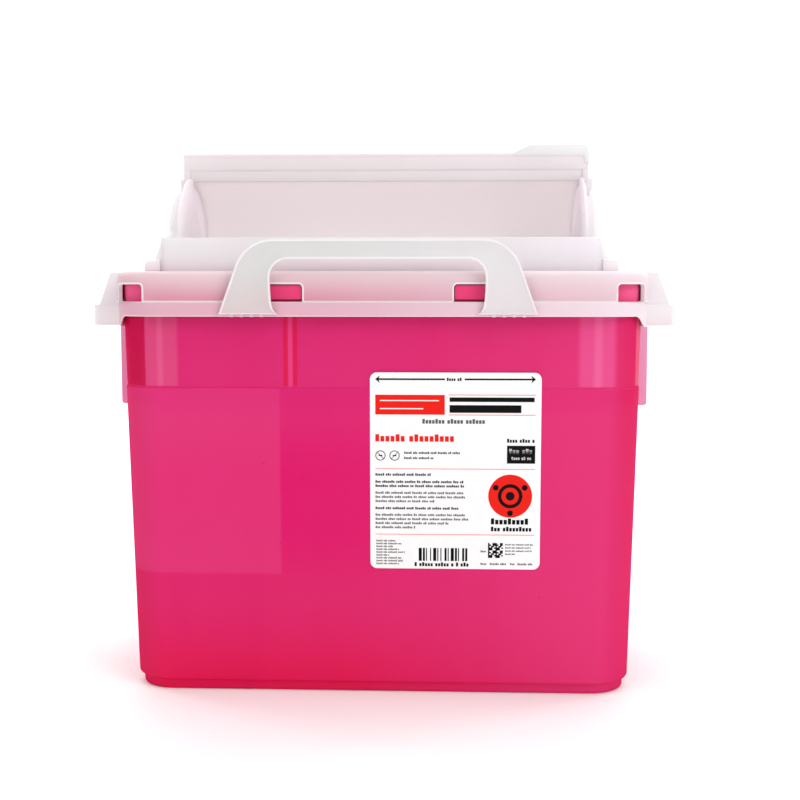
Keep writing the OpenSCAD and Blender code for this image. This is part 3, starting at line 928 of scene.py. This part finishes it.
def make_flange():
    """The raised door plate: a set-back root, a thicker lip with a bead on top, and a rib at each end."""
    back = flange_high.y
    front, lip_front = flange_low.y, lip_low.y
    root, lip, top = PIVOT_Z + DRUM_R - 0.3, lip_low.z, lip_high.z
    r = 0.9
    groove = PIVOT_Z + DRUM_R - 1.0
    outline = [(back, root - 1.0), (front + 1.0, groove - 0.9), (front + 0.25, groove - 0.3)]
    outline += [(front + 0.25, groove + 0.2), (front, groove + 0.6), (front, lip - 0.9)]
    outline += [(front - 0.2, lip - 0.3), (lip_front + 0.3, lip), (lip_front, lip + 0.35)]
    outline += [(lip_front, top - RIM_BEAD - 0.3), (lip_front - BEAD_OUT, top - RIM_BEAD)]
    outline += arc(lip_front - BEAD_OUT + r, top - r, r, 180, 90, 5) + arc(back - r, top - r, r, 90, 0, 5)
    half = flange_high.x
    plate = prism("door_plate", outline, -half, half, "x", LIP)
    soften(plate, 0.3, 2, angle=50.0)
    ribs = []
    for side in (-1, 1):
        x0, x1 = sorted((side * (half - END_RIB), side * (half + 0.12)))
        y0, y1, foot = lip_front + 0.1, front + 0.3, PIVOT_Z + DRUM_R - 2.0
        outline = [(y1, foot), (y1, lip + 1.0), (y0, lip + 1.0), (y0, foot + 0.4)]
        rib = prism("rib", outline, x0, x1, "x", LIP)
        soften(rib, 0.5, 3)
        ribs.append(rib)
    ribs = join("door_end_ribs", ribs)
    for piece in (plate, ribs):
        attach(piece, "door")
    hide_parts("door_flange", "door_lip")


make_flange()


def make_tab():
    """The thumb tab: the top bead swells into a tongue that wraps down round the right corner."""
    half, top, bead = flange_high.x + 0.25, tab_high.z, lip_high.z - RIM_BEAD
    r, leg = 4.2, 2.9
    outline = [(69.4, bead), (half - leg - 1.6, bead)] + arc(half - leg - 1.6, bead - 1.6, 1.6, 80, 10, 4)
    outline += [(half - leg, bead - 3.2), (half - leg + 0.9, bead - 4.2), (half, bead - 4.6)]
    outline += arc(half - r, top - r, r, 0, 90, 10) + arc(80.2, top - 2.0, 2.0, 90, 116, 3)
    outline += [(70.2, lip_high.z - 0.1)]
    tab = prism("thumb_tongue", outline, lip_low.y - BEAD_OUT - 0.1, lip_high.y + 0.1, "y", TAB)
    soften(tab, 0.5, 3)
    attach(tab, "door")
    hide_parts("thumb_tab")


make_tab()


# ---------------- handle


BAR_H = 9.9
GRIP_HALF, GRIP_R = 53.8, 9.0
SHOULDER_X, SHOULDER_R = 52.2, 20.0


def handle_ring(t, y):
    """Outline of the raised handle, drawn in by t: leaning legs, round shoulders and the bar over the gap."""
    top, foot, half = strap_high.z, strap_low.z, strap_high.x
    grip = GRIP_HALF + t
    right = arc(GRIP_HALF - GRIP_R, top - BAR_H - GRIP_R, GRIP_R + t, 90, 0, 10)
    right += [(grip - 0.1, foot + 12), (grip - 0.5, foot + 6.5), (grip - 1.2, foot + 3.2)]
    right += [(grip - 2.4, foot + 1.1 + t * 0.4), (grip - 3.7, foot + t * 0.6)]
    right += [(half - t * 1.3, foot + t * 0.6), (half - 0.7 - t, foot + 1.4 + t * 0.4)]
    right += [(half - 1.5 - t, foot + 4.0)]
    right += arc(SHOULDER_X, top - SHOULDER_R, SHOULDER_R - t, 18, 90, 14)
    return [(x, y, z) for x, z in right + [(-x, z) for x, z in reversed(right)]]


def make_handle():
    """A flat strap with a raised bead along its edges and the round mark of an ejector pin."""
    front, back = strap_low.y, strap_high.y
    section = [(0.45, back), (0.15, back - 0.12), (0.0, back - 0.45), (0.0, front + 0.4), (0.1, front + 0.12)]
    section += [(0.35, front), (0.8, front), (1.0, front + 0.1), (1.15, front + 0.42), (1.3, front + 0.5)]
    rings = [handle_ring(t, y) for t, y in section]
    handle = loft("handle", rings, HANDLE, cap_start=True, cap_end=True, angle=30.0)
    # painted highlight: the bead along the strap's front edge gets the whiter edge copy
    handle.data.materials.append(EDGE_HIGHLIGHT)
    for polygon in handle.data.polygons:
        if polygon.center.y < (front + 0.3) * MM:
            polygon.material_index = 1
    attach(handle, "handle")
    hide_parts("handle_strap")
    mark_ring("ejector_mark", -59.5, strap_high.z - 7.6, 2.5)


def mark_ring(name, x, z, r):
    """A faint moulded ring on the handle's face."""
    y = strap_low.y + 0.49
    section = [(r - 0.14, 0.02), (r - 0.05, -0.05), (r + 0.05, -0.05), (r + 0.14, 0.02)]
    steps = 48
    rings = [[(x + radius * math.cos(a), y + lift, z + radius * math.sin(a))
              for a in [2 * math.pi * k / steps for k in range(steps)]] for radius, lift in section]
    ring = loft(name, rings, HANDLE, closed=True)
    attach(ring, "handle")


make_handle()


# ---------------- label


def face_y(z, lift):
    """Y of the tub's front face at a height, below the step, and lifted off it."""
    return FRONT_Y + DRAFT * (RIM_Z - z) - lift


LABEL_X0, LABEL_X1 = label_low.x, label_high.x
LABEL_Z0, LABEL_Z1 = label_low.z, label_high.z


def on_label(u, v, lift):
    """A point on the label: u right and v down from its upper left corner, in millimetres."""
    z = LABEL_Z1 - v
    return (LABEL_X0 + u, face_y(z, lift), z)


def make_label():
    """The film: a thin round-cornered plate on the front wall."""
    width, height, r = LABEL_X1 - LABEL_X0, LABEL_Z1 - LABEL_Z0, 3.5
    outline = arc(width - r, height - r, r, 0, 90, 8) + arc(r, height - r, r, 90, 180, 8)
    outline += arc(r, r, r, 180, 270, 8) + arc(width - r, r, r, 270, 360, 8)
    rings = [[on_label(u, v, lift) for u, v in outline] for lift in (0.02, 0.25)]
    label = loft("label_film", rings, film("label_white", (250, 250, 250)), cap_start=True, cap_end=True)
    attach(label, "container")
    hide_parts("front_label")


PRINT_STRETCH = 1.034


class Print:
    """Collects flat inked shapes of one colour on the label."""

    def __init__(self, name, rgb):
        self.name, self.rgb = name, rgb
        self.verts, self.faces = [], []

    def shape(self, points, lift=0.29):
        start = len(self.verts)
        self.verts += [on_label(u, v * PRINT_STRETCH, lift) for u, v in points]
        self.faces.append(tuple(range(start, start + len(points))))

    def bar(self, u, v, w, h, lift=0.29):
        self.shape([(u, v), (u, v + h), (u + w, v + h), (u + w, v)], lift)

    def words(self, u, v, w, h, widths=(5, 3, 7, 4, 6, 2, 5)):
        """A row of plain letter-sized blocks where the real label has a line of text."""
        block, gap, space = 0.55 * h, 0.17 * h, 0.5 * h
        at, k = u, 0
        while at < u + w - block:
            for letter in range(widths[k % len(widths)]):
                if at + block > u + w:
                    break
                tall = 1.0 if (letter * 3 + k) % 4 == 0 else 0.76
                self.bar(at, v + h * (1 - tall), block, h * tall)
                at += block + gap
            at += space
            k += 1

    def ring(self, u, v, r0, r1, steps=40, lift=0.29):
        a = [2 * math.pi * k / steps for k in range(steps + 1)]
        for p, q in zip(a, a[1:]):
            self.shape([(u + r * math.cos(t), v + r * math.sin(t) / PRINT_STRETCH)
                        for r, t in ((r0, p), (r0, q), (r1, q), (r1, p))], lift)

    def disc(self, u, v, r, lift=0.29, steps=48):
        turns = [-2 * math.pi * k / steps for k in range(steps)]
        self.shape([(u + r * math.cos(a), v + r * math.sin(a) / PRINT_STRETCH) for a in turns], lift)

    def make(self):
        piece = new_piece(self.name, self.verts, self.faces, film(self.name, self.rgb, 0.5, 0.1))
        for polygon in piece.data.polygons:
            if polygon.normal.y > 0:
                polygon.flip()
        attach(piece, "container")


def print_label():
    """A generic layout without lettering: arrow, headings, blocks for text, a red disc and code patterns."""
    black, grey = Print("ink_black", (10, 9, 9)), Print("ink_grey", (96, 94, 94))
    red, rule = Print("ink_red", (236, 34, 24)), Print("ink_rule", (244, 130, 116))
    white = Print("ink_white", (252, 250, 250))
    width = LABEL_X1 - LABEL_X0
    left, right = 2.7, width - 2.9
    print_arrow(black, left, right)
    red.bar(left, 11.0, 35.4, 9.8)
    white.bar(left + 2.4, 13.6, 30.0, 0.5, 0.32)
    white.bar(left + 2.4, 17.6, 22.0, 0.5, 0.32)
    black.bar(left + 37.8, 12.2, right - left - 38.4, 2.2)
    black.bar(left + 37.8, 16.0, right - left - 45.0, 3.8)
    for v in (10.8, 20.7):
        rule.bar(left + 37.4, v, right - left - 37.4, 0.35)
    grey.words(left + 24, 22.9, 32.5, 2.3, widths=(7, 5))
    red.words(left, 30.6, 42, 3.6, widths=(6, 9))
    black.words(right - 14.3, 32.6, 14.4, 1.9, widths=(4, 4))
    black.bar(right - 14.3, 36.0, 14.3, 8.9)
    white.words(right - 13.2, 37.6, 12.4, 2.5, widths=(3, 3))
    white.words(right - 12.0, 41.6, 10.4, 1.5, widths=(4, 2))
    print_icons(black, left)
    for v in (39.2, 41.8):
        black.words(left + 14.7, v, 29 if v < 40 else 15, 1.1)
    for v in (47.6, 80.6):
        rule.bar(left, v, right - left, 0.35)
    rows = ((50.0, 29), (53.6, 45), (55.7, 46), (59.2, 45), (61.3, 46), (63.4, 31), (66.9, 43),
            (70.3, 46), (72.4, 48), (74.5, 38), (76.6, 21))
    for k, (v, w) in enumerate(rows):
        bold = k in (0, 1, 2, 6)
        ink, height = (black, 1.3) if bold else (grey, 1.2)
        ink.words(left, v, w, height, widths=(5, 3, 7, 4, 6, 2, 5)[k % 3:] + (4, 6))
    print_disc(red, black, 71.6, 61.2, 11.2)
    black.words(right - 22.2, 72.4, 22.2, 3.0, widths=(9,))
    black.words(right - 22.2, 76.6, 22.0, 2.3, widths=(3, 9))
    for k in range(9):
        grey.words(left + 0.4, 83.6 + 1.45 * k, (10, 13, 9, 12, 15, 7, 13, 14, 12)[k], 0.9)
    print_codes(black, grey, left, right)
    for ink in (black, red, rule, grey, white):
        ink.make()


def print_arrow(black, left, right):
    """The double-ended fill arrow, with a short row of blocks in its middle."""
    v, half, gap_from, gap_to = 3.3, 0.42, 35.4, 45.4
    black.bar(left + 1, v - half, gap_from - 1, 2 * half)
    black.bar(left + gap_to, v - half, right - left - gap_to - 1, 2 * half)
    black.words(left + gap_from + 1, v - 0.8, gap_to - gap_from - 2, 1.6, widths=(4, 4))
    for tip, way in ((left, 1), (right, -1)):
        head = [(tip, v), (tip + way * 2.4, v - 1.9), (tip + way * 1.6, v), (tip + way * 2.4, v + 1.9)]
        black.shape(head[::way])


def print_icons(black, left):
    """Two small round signs."""
    for u, lean in ((left + 2.6, 1), (left + 9.8, -1)):
        v, r = 41.2, 2.6
        black.ring(u, v, r - 0.4, r)
        a = math.radians(45 * lean)
        dx, dy, half = (r - 0.3) * math.cos(a), (r - 0.3) * math.sin(a), 0.2
        ends = ((-1, -half), (1, -half), (1, half), (-1, half))
        black.shape([(u + way * dx + off, v + way * dy) for way, off in ends])
        black.bar(u - 0.9, v - 0.3, 1.8, 0.6, 0.3)


def print_disc(red, black, u, v, r):
    """The round red warning patch with a generic pattern of a ring, a dot and three satellites."""
    red.disc(u, v, r)
    black.ring(u, v, r * 0.4, r * 0.56, lift=0.32)
    black.disc(u, v, r * 0.2, lift=0.32)
    for k in range(3):
        a = math.radians(90 + 120 * k)
        black.disc(u + r * 0.76 * math.cos(a), v + r * 0.76 * math.sin(a), r * 0.13, lift=0.32)


def print_codes(black, grey, left, right):
    """A bar pattern, a dotted square and short rows beside them, none of which encodes anything."""
    bars = (3, 1, 2, 1, 1, 3, 1, 2, 3, 1, 1, 2, 1, 3, 2, 1, 1, 2, 3, 1, 2, 1, 1, 3, 2, 1, 2)
    at, unit = 24.9, 25.0 / sum(bars)
    for k, units in enumerate(bars):
        if k % 2 == 0:
            black.bar(at, 87.6, units * unit, 6.6)
        at += units * unit
    black.words(22.8, 94.9, 29.0, 2.0, widths=(1, 5, 5, 1))
    cell, cells = 0.76, 10
    for i in range(cells):
        for j in range(cells):
            if (i * i * 3 + j * j * 5 + i * j * 7 + i) % 5 < 3:
                black.bar(60.5 + i * cell, 84.8 + j * cell, cell, cell)
    for k in range(4):
        grey.words(right - 14.8, 85.2 + 1.6 * k, (14.6, 13, 14, 5)[k], 0.8)
    for u, w in ((right - 27.4, 3.6), (right - 22.6, 9.0), (right - 12.2, 2.8), (right - 8.4, 8.2)):
        grey.words(u, 94.9, w, 1.1, widths=(6,))
    grey.words(right - 27.4, 88.6, 3.4, 1.0, widths=(6,))


make_label()
print_label()


# ---------------- CAD nodes that stay, with finished materials


def keep(node, material, width=0.3):
    """Shows a CAD node as it is, with its material and softly rounded edges."""
    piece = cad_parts[node]
    piece.data.materials.clear()
    piece.data.materials.append(material)
    weld = piece.modifiers.new("weld", "WELD")
    weld.merge_threshold = 0.00001
    if width:
        soften(piece, width, 2, apply=False)
    for polygon in piece.data.polygons:
        polygon.material_index = 0


for node, material in (("nesting_ribs", RIB), ("side_rails_left", RAIL), ("side_rails_right", RAIL),
                       ("snap_lugs_front", TUB), ("snap_lugs_back", TUB), ("door_stops", CHUTE),
                       ("hinge_webs_left", HANDLE), ("hinge_webs_right", HANDLE)):
    keep(node, material, 0.0 if "webs" in node else 0.3)


# ---------------- studio


# The floor lies a hair under the foot, so that the two faces don't coincide
FLOOR_GAP = 0.00002


def add_floor():
    """A plain pale floor that curves up far behind."""
    reach, back, rise = 6000.0, 2500.0, 900.0
    profile = [(-reach, 0.0), (back - rise, 0.0), *arc(back - rise, rise, rise, -80, 0, 10), (back, 5000.0)]
    rings = [[(x, y, z) for y, z in profile] for x in (-reach, reach)]
    verts = rings[0] + rings[1]
    count = len(profile)
    faces = [(k, k + 1, count + k + 1, count + k) for k in range(count - 1)]
    floor = new_piece("studio_floor", verts, faces, floor_paint())
    for vert in floor.data.vertices:
        vert.co.z -= FLOOR_GAP


def add_light(name, place, aim, size, watts):
    """A soft rectangular light at a place, turned towards a point, in metres."""
    data = bpy.data.lights.new(name, "AREA")
    data.shape = "RECTANGLE"
    data.size, data.size_y = size
    data.energy = watts
    light = bpy.data.objects.new(name, data)
    light.location = place
    light.rotation_euler = (Vector(aim) - Vector(place)).to_track_quat("-Z", "Y").to_euler()
    bpy.context.scene.collection.objects.link(light)
    light.visible_camera = False


def add_studio():
    """Even white surround, a key from the upper right, a fill from the left and lamps for the backdrop."""
    scene = bpy.context.scene
    world = bpy.data.worlds.new("studio")
    world.use_nodes = True
    background = world.node_tree.nodes["Background"]
    background.inputs["Color"].default_value = (1.0, 1.0, 1.0, 1.0)
    background.inputs["Strength"].default_value = 0.42
    scene.world = world
    scene.view_settings.view_transform = "Standard"
    middle = (0.0, 0.0, 0.15)
    add_light("key", (1.3, -1.3, 1.3), middle, (1.0, 1.0), 15.0)
    add_light("fill", (-1.4, -1.2, 1.0), middle, (1.0, 1.2), 5.5)
    add_light("rear", (0.0, 1.1, 1.0), (0.0, 0.0, 0.22), (1.6, 1.0), 1.5)
    add_light("top", (0.0, 0.6, 2.6), (0.0, 0.6, 0.0), (4.0, 4.0), 62.0)
    for side in (-1, 1):
        add_light("backdrop", (side * 1.6, 0.9, 1.6), (side * 0.4, 2.5, 0.9), (1.0, 1.4), 24.0)


add_floor()
add_studio()
